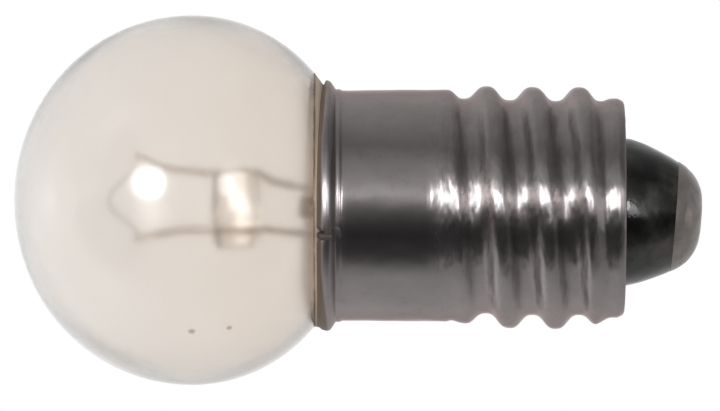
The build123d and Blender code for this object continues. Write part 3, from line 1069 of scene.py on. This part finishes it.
for which in ("key", "side", "low"):
    up, side = math.radians(studio[which + "Up"]), math.radians(studio[which + "Side"])
    direction = Vector((math.sin(side) * math.cos(up), -math.cos(side) * math.cos(up), math.sin(up)))
    areaLamp(which + "Lamp", direction, studio["keyAway"], studio[which + "Across"], studio[which + "Power"])
fillLamp = areaLamp("fillLamp", Vector((0.3, 1, 0.8)), 500, 500, studio["fillPower"], "SQUARE")
fillLamp.visible_glossy = fillLamp.visible_transmission = fillLamp.visible_camera = False


# grey that the tent shows by heading: 0.5 is behind the camera, and more lies towards +X
tentTones = [
    (0.005, 1.10), (0.03, 1.00), (0.08, 0.72), (0.19, 0.48), (0.25, 0.43), (0.29, 0.40), (0.31, 0.33),
    (0.325, 0.22), (0.34, 0.115), (0.36, 0.06), (0.42, 0.033), (0.445, 0.045), (0.48, 0.11), (0.50, 0.20),
    (0.515, 0.40), (0.53, 0.60), (0.56, 0.46), (0.60, 0.38), (0.67, 0.20), (0.75, 0.33), (0.83, 0.45),
    (0.92, 0.74), (0.97, 1.00), (0.995, 1.10),
]


def tentPiece():
    # a closed tent that only the gloss sees, darker towards -Z as over a dark table
    radius, columns, rows = studio["tentRadius"], 96, 14
    rings = []
    for i in range(rows + 1):
        tilt = math.radians(80 - 160 * i / rows)
        rings.append(ringPoints(radius * math.cos(tilt), radius * math.sin(tilt), columns))
    vertices = [p * 0.001 for ring in rings for p in ring]
    faces = []
    for i in range(rows):
        for j in range(columns):
            k = (j + 1) % columns
            faces.append([i * columns + j, i * columns + k, (i + 1) * columns + k, (i + 1) * columns + j])
    mesh = bpy.data.meshes.new("greyTent")
    mesh.from_pydata(vertices, [], faces)
    tent = bpy.data.objects.new("greyTent", mesh)
    tent.location = (0, 0, studio["middle"] / 1000)
    scene.collection.objects.link(tent)
    material, tree, output, place = newMaterial("greyTentCloth")
    turned = addNode(tree, "Mapping", {"Vector": place, "Rotation": (0, 0, math.radians(90))})
    around = addNode(tree, "TexGradient", {"gradient_type": "RADIAL", "Vector": turned.outputs["Vector"]})
    byHeading = ramp(tree, around.outputs["Fac"], *tentTones)
    level = spread(tree, along(tree, place, "Z"), -radius, radius)
    plusSide = ramp(tree, level, (0.06, 0.42), (0.20, 0.48), (0.34, 0.85), (0.5, 1.0), (0.93, 1.05), (0.99, 1.8))
    minusSide = ramp(tree, level, (0.06, 0.75), (0.34, 1.0), (0.7, 1.05), (0.86, 1.7), (0.99, 1.9))
    byLevel = mixed(tree, spread(tree, along(tree, place, "X"), -350, 50), minusSide, plusSide)
    glow = addNode(tree, "Emission", {"Color": mixed(tree, 1.0, byHeading, byLevel, "MULTIPLY")})
    tree.links.new(glow.outputs["Emission"], output.inputs["Surface"])
    material.cycles.emission_sampling = "NONE"
    mesh.materials.append(material)
    tent.visible_camera = tent.visible_diffuse = tent.visible_transmission = tent.visible_shadow = False
    tent.visible_volume_scatter = False
    return tent


tentPiece()


def paleFloor():
    mesh = bpy.data.meshes.new("paleFloor")
    points = ringPoints(studio["floorRadius"], -studio["floorDrop"], 128)
    mesh.from_pydata([p * 0.001 for p in points], [], [list(range(len(points)))])
    floor = bpy.data.objects.new("paleFloor", mesh)
    scene.collection.objects.link(floor)
    floor.visible_glossy = floor.visible_shadow = False
    material, tree, output, _ = newMaterial("paleFloorPaint")
    coat(tree, output, {"Base Color": hexToLinear("#F4F4F3"), "Roughness": 0.9})
    mesh.materials.append(material)


paleFloor()

world = bpy.data.worlds.new("world")
scene.world = world
world.use_nodes = True
worldTree = world.node_tree
worldTree.nodes.clear()
path = addNode(worldTree, "LightPath").outputs
seen = maths(worldTree, "MAXIMUM", path["Is Camera Ray"], path["Is Glossy Ray"])
seen = maths(worldTree, "MAXIMUM", seen, path["Is Transmission Ray"])
level = spread(worldTree, seen, 0, 1, studio["worldLevel"], 1)
background = addNode(worldTree, "Background", {"Color": (1, 1, 1, 1), "Strength": level})
addNode(worldTree, "OutputWorld", {"Surface": background.outputs["Background"]})
print("studio lit, with its tent and floor")

scene.view_settings.view_transform = "Standard"
